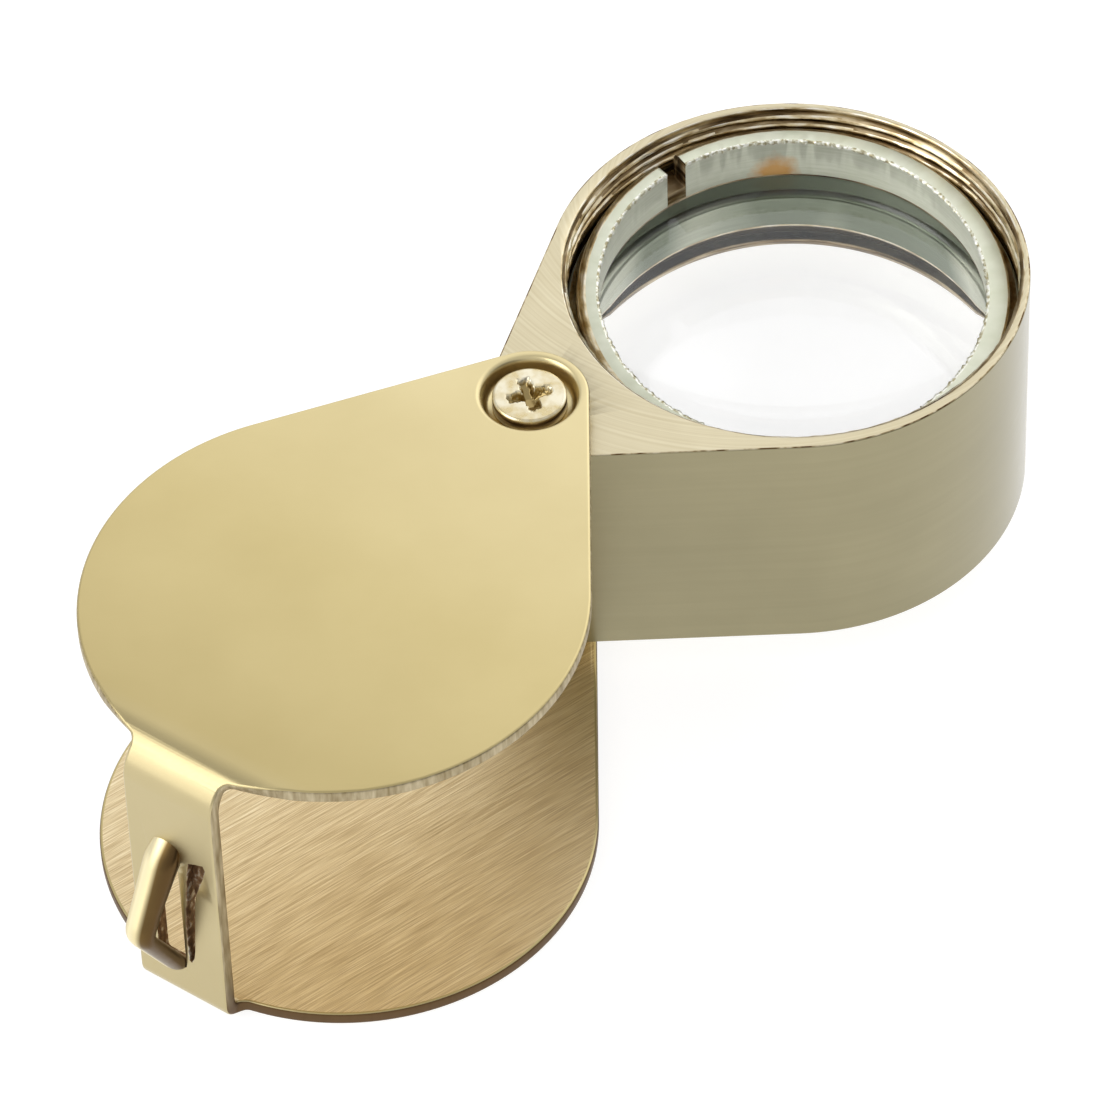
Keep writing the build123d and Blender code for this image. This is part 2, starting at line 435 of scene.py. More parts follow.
def make_bail(metal):
    """The strap pressed out of the web: a crowned section swept along its path, dying into the web."""
    bm = bmesh.new()
    path = bail_path()
    widening_low, widening_rise, swell_length = 8.5, 3.0, 1.1
    loops = []
    for i, point in enumerate(path):
        ahead = path[min(i + 1, len(path) - 1)] - path[max(i - 1, 0)]
        ahead.normalize()
        normal = Vector((ahead.y, -ahead.x))
        from_root = min(bail_top - point.y, 1.4 * (point.y - bail_foot))
        swell = min(1.0, sqrt(max(0.0, from_root / swell_length)))
        rootward = min(1.0, max(0.0, (point.y - widening_low) / widening_rise))
        width = (0.45 + 0.55 * swell) * (1 + 0.22 * rootward)
        middle_y = 0.75 - 0.16 * rootward
        section = [(point.x + normal.x * out * swell, middle_y + across * width,
                    point.y + normal.y * out * swell) for across, out in strap_section()]
        loops.append(add_ring(bm, section))
    for low, high in zip(loops, loops[1:]):
        bridge(bm, low, high)
    return mesh_object("bail_strap", bm, [metal], "case", ["case"])


# ---------------------------------------------------------------- housing
def place_housing(bm):
    """Turns a body modelled with its pivot at the origin and its bore along +X to its open position."""
    bmesh.ops.rotate(bm, cent=(0, 0, 0), matrix=Matrix.Rotation(housing_angle, 3, "Z"), verts=bm.verts)
    bmesh.ops.translate(bm, vec=(pivot_x, 0, 0), verts=bm.verts)


def drop_outline(big, small, reach):
    """A drop, anticlockwise: a small end at the origin and a big end at reach along +X."""
    tangent = acos((big - small) / reach)
    points = arc((reach, 0), big, -(pi - tangent), pi - tangent, step=2.0)
    points += arc((0, 0), small, pi - tangent, pi + tangent, step=6.0)
    return points


PLATED, FACED, CREST, GROOVE, RIM = range(5)
bore_segments = 240


def thread_wall(bm, low, high, centre):
    """The helical thread cut in the bore, bright on its crests with worn metal and painted highlight. Returns
    its lowest and highest loops.
    """
    rows_per_turn, run_out, wear_depth = 10, 0.28, 0.05
    rows = int((high - low) / thread_pitch * rows_per_turn)
    rough = random.Random(11)
    wear = [rough.uniform(0, wear_depth) for i in range(bore_segments)]
    loops = []
    for row in range(rows + 1):
        z = low + (high - low) * row / rows
        points = []
        for i in range(bore_segments):
            a = 2 * pi * i / bore_segments
            phase = ((high - run_out - z) / thread_pitch + a / (2 * pi)) % 1.0
            tooth = max(0.0, 1 - abs(2 * phase - 1) * 1.5)
            fade = min(1.0, (high - z) / 0.08, (z - low) / 0.3)
            radius = thread_radius - (thread_depth * tooth - wear[i] * (tooth > 0.6)) * fade
            points.append((centre[0] + radius * cos(a), centre[1] + radius * sin(a), z))
        loops.append(add_ring(bm, points))
    crest_radius = thread_radius - 0.4 * thread_depth
    for lower, upper in zip(loops, loops[1:]):
        for face in bridge(bm, lower, upper, GROOVE):
            middle = face.calc_center_median()
            if hypot(middle.x - centre[0], middle.y - centre[1]) < crest_radius:
                face.material_index = CREST
    return loops[0], loops[-1]


def make_housing(finishes):
    """The drop-shaped housing: softened rims, threaded bore with a lip for the lenses, tapped holes."""
    bm = bmesh.new()
    centre = (bore_reach, 0)
    rim_rounding, lip_chamfer = 0.09, 0.1
    low, high = walls(bm, drop_outline(housing_radius, housing_end_radius, housing_reach),
                      housing_low, housing_top, rim_rounding, RIM, PLATED)
    thread_low, thread_high = thread_wall(bm, ring_low + 0.9, housing_top - 0.06, centre)
    mouth_profile = [(thread_radius + 0.07, housing_top), (thread_radius + 0.03, housing_top - 0.02)]
    mouth = spin(bm, mouth_profile, bore_segments, centre, CREST)
    bridge(bm, mouth[-1], thread_high, CREST)
    # The bore below the thread takes the groove finish, painted shade.
    seat_profile = [(thread_radius, ring_low + 0.02), (lens_bore_radius, ring_low),
                    (lens_bore_radius, lip_top), (lip_radius, lip_top),
                    (lip_radius, housing_low + lip_chamfer), (lip_radius + lip_chamfer, housing_low)]
    seat = spin(bm, seat_profile, bore_segments, centre, GROOVE)
    bridge(bm, thread_low, seat[0], GROOVE)
    holes = []
    hole_radius, hole_depth, cone_depth = 1.0, 5.0, 5.3
    for face, inwards in ((housing_top, -1), (housing_low, 1)):
        drilled = [(hole_radius, face), (hole_radius, face + inwards * hole_depth),
                   (0.02, face + inwards * cone_depth)]
        tapped = spin(bm, drilled, 36)
        bm.faces.new(tapped[-1])
        holes.append(tapped[0])
    fill(bm, [high, mouth[0], holes[0]], FACED)
    fill(bm, [low, seat[-1], holes[1]], FACED)
    place_housing(bm)
    return mesh_object("housing_body", bm, finishes, "housing", ["housing"])


def ring_finish(row, slotted):
    """Which finish a row of the ring's faces has, counted round its section from the lower inner corner."""
    plain, shade_finish, worn, burred = range(4)
    collar_rows, burr_rows, foot_row = range(3, 7), range(9, 12), 13
    # The foot row and the slots take the dark groove finish, painted shade.
    if row == foot_row or (slotted and row >= collar_rows.start):
        return shade_finish
    if row in collar_rows:
        return worn
    return burred if row in burr_rows else plain


def ring_stations():
    """(angle, in a slot) round the ring, evenly spaced but close together on both sides of a slot's walls."""
    count, wall_gap = 480, 1e-4
    slot_angles = (radians(71.0), radians(251.0))
    half_angle = asin(ring_slot_width / 2 / ring_inner_radius)
    stations = []
    for i in range(count):
        a = 2 * pi * i / count
        in_slot = any(abs((a - middle + pi) % (2 * pi) - pi) < half_angle for middle in slot_angles)
        stations.append((a, in_slot))
    for middle in slot_angles:
        for step, opening in ((-1, False), (-1, True), (1, True), (1, False)):
            nudge = wall_gap * step * (-1 if opening else 1)
            stations.append(((middle + step * half_angle + nudge) % (2 * pi), opening))
    stations.sort()
    return stations


def ring_section(a, in_slot, rough):
    """(radius, z) round the ring's section at an angle, starting at the lower inner corner."""
    slope, high_side, mean_top = radians(5.0), radians(50.0), housing_top - 1.5
    wide_bevel_side = radians(110)
    slot_floor = ring_low + ring_slot_floor
    flange = ring_low + ring_flange_height
    thread_root = thread_radius - 0.02 - thread_depth
    inner, outer = ring_inner_radius, ring_collar_radius
    collar = max(mean_top + sin(slope) * inner * cos(a - high_side), flange + 0.1)
    top, shelf = (slot_floor, slot_floor) if in_slot else (collar, flange)
    chatter = noise.noise((60 * cos(a), 60 * sin(a), 2.0))
    burr = 0.0 if in_slot else max(0.0, 0.05 + 0.07 * chatter + rough.uniform(-0.02, 0.07))
    bevel = 0.14 + 0.2 * (1 + cos(a - wide_bevel_side))
    foot = [(inner, ring_low), (thread_root, ring_low), (thread_root + 0.2, (ring_low + shelf) / 2),
            (thread_root, shelf), (outer, shelf)]
    rise = [(outer, top - 0.7 * bevel - 0.1), (outer - 0.3 * bevel, top - 0.3 * bevel), (outer - bevel, top),
            (inner + 0.2, top), (inner + 0.08, top + 0.5 * burr), (inner - burr, top + 0.3 * burr),
            (inner - 0.7 * burr, top - 0.05 - burr), (inner, top - 0.16)]
    if in_slot:
        rise = [(r, top) for r, z in rise]
    return foot + rise + [(inner, ring_low + 0.1)]


def make_ring(finishes):
    """Retaining ring: threaded flange, sloping collar with a rough inner edge, two spanner slots."""
    bm = bmesh.new()
    rough = random.Random(3)
    stations = ring_stations()
    loops = []
    for a, in_slot in stations:
        turn = a - housing_angle
        section = ring_section(a, in_slot, rough)
        loops.append(add_ring(bm, [(bore_reach + r * cos(turn), r * sin(turn), z) for r, z in section]))
    for i, loop in enumerate(loops):
        after = (i + 1) % len(loops)
        slotted = stations[i][1] or stations[after][1]
        for k, face in enumerate(bridge(bm, loop, loops[after])):
            face.material_index = ring_finish(k, slotted)
    place_housing(bm)
    return mesh_object("ring_turned", bm, finishes, "housing", ["retaining_ring"])


lens_segments = 144


def make_lens(name, node, flat_z, bulge, finishes):
    """Plano-convex lens: flat face at flat_z, crowned towards bulge, with a ground edge."""
    bm = bmesh.new()
    sag_edge = lens_curvature - sqrt(lens_curvature**2 - lens_radius**2)
    chamfer, rings, flat_rings, middle_radius = 0.12, 28, 8, 0.4
    crown = []
    for i in range(rings):
        r = (lens_radius - chamfer) * (1 - i / rings)
        sag = lens_curvature - sqrt(lens_curvature**2 - r**2)
        crown.append((r, flat_z + bulge * (lens_edge + sag_edge - sag)))
    flat = [(middle_radius, flat_z)]
    flat += [((lens_radius - chamfer) * i / flat_rings, flat_z) for i in range(1, flat_rings + 1)]
    ground = [(lens_radius, flat_z + bulge * height) for height in (chamfer, lens_edge - chamfer)]
    centre = (bore_reach, 0)
    loops = spin(bm, flat, lens_segments, centre)
    edge = spin(bm, ground, lens_segments, centre, material=1)
    bridge(bm, loops[-1], edge[0], 1)
    crowned = spin(bm, crown, lens_segments, centre)
    bridge(bm, edge[-1], crowned[0], 1)
    bm.faces.new(loops[0])
    tip = bm.verts.new((bore_reach, 0, flat_z + bulge * (lens_edge + sag_edge)))
    last = crowned[-1]
    for i in range(len(last)):
        bm.faces.new((last[i], last[(i + 1) % len(last)], tip))
    place_housing(bm)
    lens = mesh_object(name, bm, finishes, "housing", [node])
    lens.visible_shadow = False
    return lens


def make_spacer(finishes):
    """Tube between the lenses, with a bright lower rim that is a painted highlight line."""
    bm = bmesh.new()
    low, high = (c.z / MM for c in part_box("lens_spacer"))
    chamfer, rim_height = 0.1, 0.16
    profile = [(spacer_inner_radius, low + rim_height), (spacer_inner_radius, low),
               (lens_radius - chamfer, low), (lens_radius, low + chamfer),
               (lens_radius, high - chamfer), (lens_radius - chamfer, high),
               (spacer_inner_radius + 0.15, high), (spacer_inner_radius, high - chamfer)]
    loops = spin(bm, profile, lens_segments, (bore_reach, 0), closed=True)
    # The lower inner rim takes the crest finish as a painted highlight line.
    rim = set(loops[0] + loops[1])
    for face in bm.faces:
        if all(vertex in rim for vertex in face.verts):
            face.material_index = 1
    place_housing(bm)
    return mesh_object("spacer_tube", bm, finishes, "housing", ["lens_spacer"])


# ---------------------------------------------------------------- pivot screws
def cross_depth(x, y, wear):
    """Depth of the worn cross recess at a point of the head."""
    arm_length, arm_half, deep, wall = 1.2, 0.33, 0.72, 0.2
    chewed = 0.11 * noise.noise((5 * x + wear, 5 * y, wear))
    roughness = chewed + 0.06 * noise.noise((14 * x, 14 * y, wear))
    best = 0.0
    for u, v in ((x, y), (y, x)):
        side = arm_half + 0.1 * (1 - abs(u) / arm_length) + roughness - abs(v)
        end = arm_length + roughness - abs(u)
        best = max(best, min(1.0, max(0.0, min(side, end) / wall)))
    fall = min(1.0, max(0.25, 1.25 - hypot(x, y) / arm_length))
    return deep * best * fall


def make_screw(name, node, side, wear, finishes):
    """Shoulder screw: worn cross-recessed head, plain shoulder, thread. side is +1 on top, -1 below."""
    bm = bmesh.new()
    head_low = case_height - dimple_depth + 0.03
    face = head_top - 0.02
    bevel_width = 0.14
    segments, rings = 144, 44
    turn = radians(52.0)
    loops = []
    for k in range(rings):
        r = (head_radius - bevel_width) * (1 - k / rings)
        points = []
        for i in range(segments):
            a = 2 * pi * i / segments
            x, y = r * cos(a), r * sin(a)
            cx, cy = x * cos(turn) + y * sin(turn), y * cos(turn) - x * sin(turn)
            dome = -0.035 * (r / head_radius) ** 2 + 0.006 * noise.noise((3 * x, 3 * y, wear))
            points.append((x, y, face + dome - cross_depth(cx, cy, wear)))
        loops.append(add_ring(bm, points))
    for low, high in zip(loops, loops[1:]):
        bridge(bm, low, high)
    bm.faces.new(loops[-1])
    shoulder_radius, root_radius, tooth, tip_radius = 1.3, 0.8, 0.17, 0.4
    thread_length, shank_length, rows = 4.2, 4.4, 20
    side_profile = [(head_radius - bevel_width, face - 0.035), (head_radius - 0.05, face - 0.07),
                    (head_radius, face - 0.13), (head_radius, head_low + 0.06),
                    (head_radius - 0.06, head_low), (shoulder_radius, head_low),
                    (shoulder_radius, housing_top)]
    for i in range(rows + 1):
        radius = root_radius + (tooth if i % 2 else 0.0)
        side_profile.append((radius, housing_top - 0.01 - thread_length * i / rows))
    side_profile.append((tip_radius, housing_top - shank_length))
    shank = spin(bm, side_profile, segments, material=1)
    bm.faces.new(shank[-1]).material_index = 1
    bevel = set(shank[0] + shank[1] + shank[2])
    for face in bm.faces:
        if face.material_index and all(vertex in bevel for vertex in face.verts):
            face.material_index = 0
    if side < 0:
        for vertex in bm.verts:
            vertex.co.z = case_height - vertex.co.z
    bmesh.ops.translate(bm, vec=(pivot_x, 0, 0), verts=bm.verts)
    return mesh_object(name, bm, finishes, "housing", [node])


# ---------------------------------------------------------------- materials
def new_material(name, base, metallic, roughness):
    """A material with its Principled shader. Returns the material, its nodes and links, and the shader."""
    material = bpy.data.materials.new(name)
    material.use_nodes = True
    nodes, links = material.node_tree.nodes, material.node_tree.links
    shader = nodes["Principled BSDF"]
    shader.inputs["Base Color"].default_value = (*base, 1)
    shader.inputs["Metallic"].default_value = metallic
    shader.inputs["Roughness"].default_value = roughness
    return material, nodes, links, shader


def stretched_noise(nodes, links, angle, scale, detail=3.0):
    """Noise stretched by a different frequency along each object axis, after a turn about Z."""
    place = nodes.new("ShaderNodeTexCoord")
    mapping = nodes.new("ShaderNodeMapping")
    mapping.vector_type = "TEXTURE"
    mapping.inputs["Rotation"].default_value = (0, 0, angle)
    mapping.inputs["Scale"].default_value = tuple(1 / s for s in scale)
    texture = nodes.new("ShaderNodeTexNoise")
    texture.inputs["Scale"].default_value = 1.0
    texture.inputs["Detail"].default_value = detail
    links.new(place.outputs["Object"], mapping.inputs["Vector"])
    links.new(mapping.outputs["Vector"], texture.inputs["Vector"])
    return texture.outputs["Fac"]


def ramp(nodes, links, value, stops):
    """A colour ramp through (position, colour) stops."""
    node = nodes.new("ShaderNodeValToRGB")
    elements = node.color_ramp.elements
    for element, (place, colour) in zip(elements, (stops[0], stops[-1])):
        element.position, element.color = place, (*colour, 1)
    for place, colour in stops[1:-1]:
        elements.new(place).color = (*colour, 1)
    links.new(value, node.inputs["Fac"])
    return node.outputs["Color"]


def scaled(nodes, links, value, low, high):
    """A value in 0 to 1 taken to low to high."""
    node = nodes.new("ShaderNodeMapRange")
    node.inputs["To Min"].default_value = low
    node.inputs["To Max"].default_value = high
    links.new(value, node.inputs["Value"])
    return node.outputs["Result"]


def bump(nodes, links, shader, height, distance):
    """Small relief: height in 0 to 1 over a distance in metres."""
    node = nodes.new("ShaderNodeBump")
    node.inputs["Strength"].default_value = 1.0
    node.inputs["Distance"].default_value = distance
    links.new(height, node.inputs["Height"])
    links.new(node.outputs["Normal"], shader.inputs["Normal"])


def position(nodes, links, centre=(0, 0, 0)):
    """Object position in metres, measured from a centre in millimetres."""
    place = nodes.new("ShaderNodeTexCoord")
    shift = nodes.new("ShaderNodeVectorMath")
    shift.operation = "SUBTRACT"
    shift.inputs[1].default_value = tuple(c * MM for c in centre)
    links.new(place.outputs["Object"], shift.inputs[0])
    return shift.outputs["Vector"]


def coordinate(nodes, links, axis, centre=(0, 0, 0)):
    """One coordinate of the object position in metres, measured from a centre in millimetres."""
    split = nodes.new("ShaderNodeSeparateXYZ")
    links.new(position(nodes, links, centre), split.inputs[0])
    return split.outputs[axis]


def distance_from(nodes, links, centre, flat=True):
    """Distance in metres from a vertical axis, or from a point if flat is False."""
    keep = nodes.new("ShaderNodeVectorMath")
    keep.operation = "MULTIPLY"
    keep.inputs[1].default_value = (1, 1, 0 if flat else 1)
    links.new(position(nodes, links, centre), keep.inputs[0])
    size = nodes.new("ShaderNodeVectorMath")
    size.operation = "LENGTH"
    links.new(keep.outputs["Vector"], size.inputs[0])
    return size.outputs["Value"]


def between(nodes, links, value, low, high):
    """0 at low to 1 at high, held outside them. Lengths in metres."""
    node = nodes.new("ShaderNodeMapRange")
    node.inputs["From Min"].default_value = low
    node.inputs["From Max"].default_value = high
    links.new(value, node.inputs["Value"])
    return node.outputs["Result"]


def mixed(nodes, links, share, first, second, blend="MIX"):
    """A colour mix. Either colour may be a socket or a plain colour."""
    node = nodes.new("ShaderNodeMix")
    node.data_type = "RGBA"
    node.blend_type = blend
    for name, colour in (("A", first), ("B", second)):
        socket = [i for i in node.inputs if i.name == name and i.type == "RGBA"][0]
        if isinstance(colour, tuple):
            socket.default_value = (*colour, 1)
        else:
            links.new(colour, socket)
    if isinstance(share, float):
        node.inputs["Factor"].default_value = share
    else:
        links.new(share, node.inputs["Factor"])
    return [o for o in node.outputs if o.type == "RGBA"][0]


def satin_gold():
    """Lacquered brass, a little paler towards the pivot as a painted reflection gradient and greyer on the
    web, with faint clouding and an even fine grain.
    """
    material, nodes, links, shader = new_material("satin_gold", (0.66, 0.55, 0.28), 1.0, 0.3)
    # Colour ramp along x: greyer on the web, and paler towards the pivot as a painted reflection gradient.
    along = between(nodes, links, coordinate(nodes, links, "X"), -0.013, 0.016)
    tint = ramp(nodes, links, along, [(0.0, (0.56, 0.475, 0.27)), (0.08, (0.56, 0.458, 0.222)),
                                      (0.5, (0.655, 0.545, 0.272)), (1.0, (0.775, 0.665, 0.38))])
    cloud = stretched_noise(nodes, links, 0, (120, 120, 120), 4)
    veil = ramp(nodes, links, cloud, [(0.3, (0.92, 0.91, 0.88)), (0.7, (1.0, 1.0, 1.0))])
    links.new(mixed(nodes, links, 1.0, tint, veil, "MULTIPLY"), shader.inputs["Base Color"])
    grain = stretched_noise(nodes, links, radians(-56), (700, 12000, 9000), 2)
    links.new(scaled(nodes, links, grain, 0.27, 0.36), shader.inputs["Roughness"])
    bump(nodes, links, shader, grain, 0.0000012)
    return material


def strap_gold_painted_light():
    """The bail: the same lacquered brass, with a painted highlight along its crown, painted shade down its
    far flank and milder painted shade along its other edge.
    """
    material, nodes, links, shader = new_material("strap_gold_painted_light", (0.72, 0.6, 0.3), 1.0, 0.3)
    across = between(nodes, links, coordinate(nodes, links, "Y"), -0.00005, 0.00155)
    # Across the strap: painted shade on the -Y flank, a painted highlight on the crown, milder painted shade
    # at the +Y edge.
    tint = ramp(nodes, links, across, [(0.0, (0.11, 0.065, 0.025)), (0.27, (0.15, 0.095, 0.035)),
                                       (0.47, (0.8, 0.69, 0.4)), (0.75, (0.9, 0.8, 0.52)),
                                       (1.0, (0.5, 0.41, 0.2))])
    links.new(tint, shader.inputs["Base Color"])
    grain = stretched_noise(nodes, links, 0, (2500, 9000, 2500), 3)
    links.new(scaled(nodes, links, grain, 0.24, 0.4), shader.inputs["Roughness"])
    return material


def brushed_gold():
    """The unlacquered inside of the sheet, coarsely brushed along one direction."""
    material, nodes, links, shader = new_material("brushed_gold", (0.7, 0.55, 0.33), 1.0, 0.45)
    angle = radians(-18)
    strokes = stretched_noise(nodes, links, angle, (420, 17000, 17000), 3)
    bands = stretched_noise(nodes, links, angle, (90, 4200, 4200), 2)
    fine = ramp(nodes, links, strokes, [(0.28, (0.60, 0.46, 0.27)), (0.5, (0.80, 0.66, 0.41)),
                                        (0.72, (1.0, 0.88, 0.63))])
    broad = ramp(nodes, links, bands, [(0.35, (0.95, 0.94, 0.92)), (0.65, (1.0, 1.0, 1.0))])
    links.new(mixed(nodes, links, 1.0, fine, broad, "MULTIPLY"), shader.inputs["Base Color"])
    links.new(scaled(nodes, links, strokes, 0.55, 0.36), shader.inputs["Roughness"])
    bump(nodes, links, shader, strokes, 0.000012)
    return material


def sheared_edge():
    """The cut edge of the sheet: duller, with upright shear marks, and darkened to brown towards the foot as
    painted shade.
    """
    material, nodes, links, shader = new_material("sheared_edge", (0.5, 0.44, 0.3), 1.0, 0.45)
    marks = stretched_noise(nodes, links, 0, (3500, 3500, 500), 3)
    tint = ramp(nodes, links, marks, [(0.3, (0.26, 0.2, 0.1)), (0.7, (0.56, 0.48, 0.32))])
    # Painted shade: the cut edge darkens to brown below 3.5 mm, towards the foot.
    foot = between(nodes, links, coordinate(nodes, links, "Z"), 0.0035, 0.0008)
    links.new(mixed(nodes, links, foot, tint, (0.14, 0.085, 0.04)), shader.inputs["Base Color"])
    links.new(scaled(nodes, links, marks, 0.35, 0.6), shader.inputs["Roughness"])
    bump(nodes, links, shader, marks, 0.000008)
    return material


def torn_edge_and_shade():
    """Torn and punched edges: dark brown painted shade with bright torn flecks."""
    material, nodes, links, shader = new_material("torn_edge_and_shade", (0.2, 0.12, 0.06), 0.8, 0.5)
    flecks = stretched_noise(nodes, links, 0, (2600, 2600, 1600), 4)
    # The dark brown is painted shade inside the slit and window; the bright flecks are torn metal.
    links.new(ramp(nodes, links, flecks, [(0.42, (0.14, 0.075, 0.032)), (0.55, (0.27, 0.16, 0.08)),
                                          (0.66, (0.66, 0.6, 0.48))]), shader.inputs["Base Color"])
    bump(nodes, links, shader, flecks, 0.00004)
    return material


def plated_side_painted_shade():
    """The housing's side: smooth plating with a trace of the milling left in it, darkened to khaki as painted
    shade.
    """
    material, nodes, links, shader = new_material("plated_side_painted_shade", (0.45, 0.4, 0.23), 1.0, 0.3)
    marks = stretched_noise(nodes, links, 0, (90, 90, 2600), 2)
    cloud = stretched_noise(nodes, links, 0, (160, 160, 160), 3)
    # The dark khaki tint is painted shade on the housing's side.
    tint = ramp(nodes, links, cloud, [(0.3, (0.295, 0.262, 0.148)), (0.7, (0.325, 0.288, 0.165))])
    veil = ramp(nodes, links, marks, [(0.35, (0.96, 0.96, 0.95)), (0.65, (1.0, 1.0, 1.0))])
    links.new(mixed(nodes, links, 1.0, tint, veil, "MULTIPLY"), shader.inputs["Base Color"])
    links.new(scaled(nodes, links, marks, 0.27, 0.34), shader.inputs["Roughness"])
    shader.inputs["Coat Weight"].default_value = 0.6
    shader.inputs["Coat Roughness"].default_value = 0.15
    return material


def faced_end():
    """The housing's faced ends: paler, with wide turned rings whose centre lies off the bore's axis."""
    material, nodes, links, shader = new_material("faced_end", (0.68, 0.61, 0.42), 1.0, 0.3)
    turned = nodes.new("ShaderNodeTexNoise")
    turned.noise_dimensions = "1D"
    turned.inputs["Scale"].default_value = 5200
    turned.inputs["Detail"].default_value = 3
    turning_centre = (bore_x + 4.0, bore_y + 5.0, 0)
    links.new(distance_from(nodes, links, turning_centre), turned.inputs["W"])
    patch = stretched_noise(nodes, links, 0, (260, 260, 260), 3)
    tint = ramp(nodes, links, turned.outputs["Fac"], [(0.3, (0.645, 0.57, 0.385)),
                                                      (0.7, (0.735, 0.665, 0.475))])
    veil = ramp(nodes, links, patch, [(0.3, (0.93, 0.92, 0.9)), (0.7, (1.0, 1.0, 1.0))])
    links.new(mixed(nodes, links, 1.0, tint, veil, "MULTIPLY"), shader.inputs["Base Color"])
    links.new(scaled(nodes, links, turned.outputs["Fac"], 0.24, 0.4), shader.inputs["Roughness"])
    bump(nodes, links, shader, turned.outputs["Fac"], 0.0000028)
    return material


def crest_wear_and_highlight():
    """Bare metal worn bright, with near-white patches that are painted highlight: the thread's crests, the
    ring's collar and the spacer's rim.
    """
    material, nodes, links, shader = new_material("crest_wear_and_highlight", (0.66, 0.55, 0.36), 1.0, 0.3)
    wear = stretched_noise(nodes, links, 0, (900, 900, 5000), 4)
    # Worn bare metal, with near-white patches as painted highlight.
    links.new(ramp(nodes, links, wear, [(0.36, (0.46, 0.34, 0.17)), (0.5, (0.80, 0.68, 0.44)),
                                        (0.62, (0.99, 0.93, 0.78))]), shader.inputs["Base Color"])
    bump(nodes, links, shader, wear, 0.00002)
    return material


def groove_painted_shade():
    """Thread roots and slots, the bore below the thread and the screw shanks: dark brown painted shade."""
    material, nodes, links, shader = new_material("groove_painted_shade", (0.2, 0.14, 0.08), 1.0, 0.38)
    dirt = stretched_noise(nodes, links, 0, (350, 350, 2500), 4)
    # Dark brown painted shade.
    links.new(ramp(nodes, links, dirt, [(0.35, (0.06, 0.035, 0.014)), (0.5, (0.26, 0.18, 0.09)),
                                        (0.64, (0.62, 0.51, 0.33))]), shader.inputs["Base Color"])
    return material


def burred_edge_painted_glints():
    """The ring's chattered inner edge: bright specks as painted glints, with dark gaps as painted shade."""
    material, nodes, links, shader = new_material("burred_edge_painted_glints", (0.8, 0.8, 0.68), 0.7, 0.3)
    specks = stretched_noise(nodes, links, 0, (4200, 4200, 1500), 2)
    # Painted glints and painted shade along the burr.
    links.new(ramp(nodes, links, specks, [(0.36, (0.42, 0.37, 0.22)), (0.48, (0.72, 0.71, 0.55)),
                                          (0.58, (1.0, 1.0, 0.92))]), shader.inputs["Base Color"])
    bump(nodes, links, shader, specks, 0.00004)
    return material


def nicked_rim():
    """The housing's outer rim: pale plating broken by brown nicks."""
    material, nodes, links, shader = new_material("nicked_rim", (0.6, 0.52, 0.34), 1.0, 0.35)
    nicks = stretched_noise(nodes, links, 0, (1100, 1100, 1100), 5)
    links.new(ramp(nodes, links, nicks, [(0.42, (0.68, 0.6, 0.42)), (0.52, (0.40, 0.31, 0.17)),
                                         (0.6, (0.13, 0.07, 0.03))]), shader.inputs["Base Color"])
    bump(nodes, links, shader, nicks, 0.00003)
    return material


def turned_ring():
    """Pale greenish aluminium with turning marks, a few scratches and an old orange stain."""
    material, nodes, links, shader = new_material("turned_ring", (0.74, 0.76, 0.62), 0.6, 0.42)
    marks = stretched_noise(nodes, links, 0, (500, 500, 9000), 3)
    plain = ramp(nodes, links, marks, [(0.3, (0.70, 0.73, 0.57)), (0.7, (0.82, 0.84, 0.70))])
    ragged = nodes.new("ShaderNodeMath")
    ragged.operation = "MULTIPLY_ADD"
    links.new(stretched_noise(nodes, links, 0, (1500, 1500, 1500), 3), ragged.inputs[0])
    ragged.inputs[1].default_value = 0.0012
    links.new(distance_from(nodes, links, stain_centre, False), ragged.inputs[2])
    stain = between(nodes, links, ragged.outputs[0], 0.0021, 0.0011)
    links.new(mixed(nodes, links, stain, plain, (0.74, 0.42, 0.14)), shader.inputs["Base Color"])
    links.new(scaled(nodes, links, marks, 0.34, 0.5), shader.inputs["Roughness"])
    bump(nodes, links, shader, marks, 0.000003)
    return material


def plain_spacer():
    """The spacer's grey-green tube, turned across and streaked along."""
    material, nodes, links, shader = new_material("plain_spacer", (0.5, 0.53, 0.48), 1.0, 0.4)
    marks = stretched_noise(nodes, links, 0, (300, 300, 5000), 3)
    around = stretched_noise(nodes, links, 0, (170, 170, 20), 1)
    tint = ramp(nodes, links, around, [(0.42, (0.24, 0.28, 0.2)), (0.6, (0.72, 0.75, 0.6))])
    veil = ramp(nodes, links, marks, [(0.3, (0.85, 0.85, 0.85)), (0.7, (1.0, 1.0, 1.0))])
    links.new(mixed(nodes, links, 1.0, tint, veil, "MULTIPLY"), shader.inputs["Base Color"])
    return material


def worn_screw():
    """The screw heads: patchy bright brass, darker down in the cross recess."""
    material, nodes, links, shader = new_material("worn_screw", (0.72, 0.62, 0.4), 1.0, 0.28)
    wear = stretched_noise(nodes, links, 0, (1500, 1500, 1500), 4)
    face = ramp(nodes, links, wear, [(0.35, (0.68, 0.57, 0.33)), (0.62, (0.86, 0.8, 0.62))])
    height = nodes.new("ShaderNodeMath")
    height.operation = "ABSOLUTE"
    links.new(coordinate(nodes, links, "Z", (0, 0, mid_z)), height.inputs[0])
    head = head_top - mid_z
    recess = between(nodes, links, height.outputs[0], (head - 0.13) * MM, (head - 0.3) * MM)
    links.new(mixed(nodes, links, recess, face, (0.4, 0.3, 0.13)), shader.inputs["Base Color"])
    links.new(scaled(nodes, links, wear, 0.2, 0.4), shader.inputs["Roughness"])
    return material


def clear_glass():
    """The lenses' polished faces."""
    material, _, _, shader = new_material("clear_glass", (1, 1, 1), 0.0, 0.0)
    shader.inputs["IOR"].default_value = 1.52
    shader.inputs["Transmission Weight"].default_value = 1.0
    return material


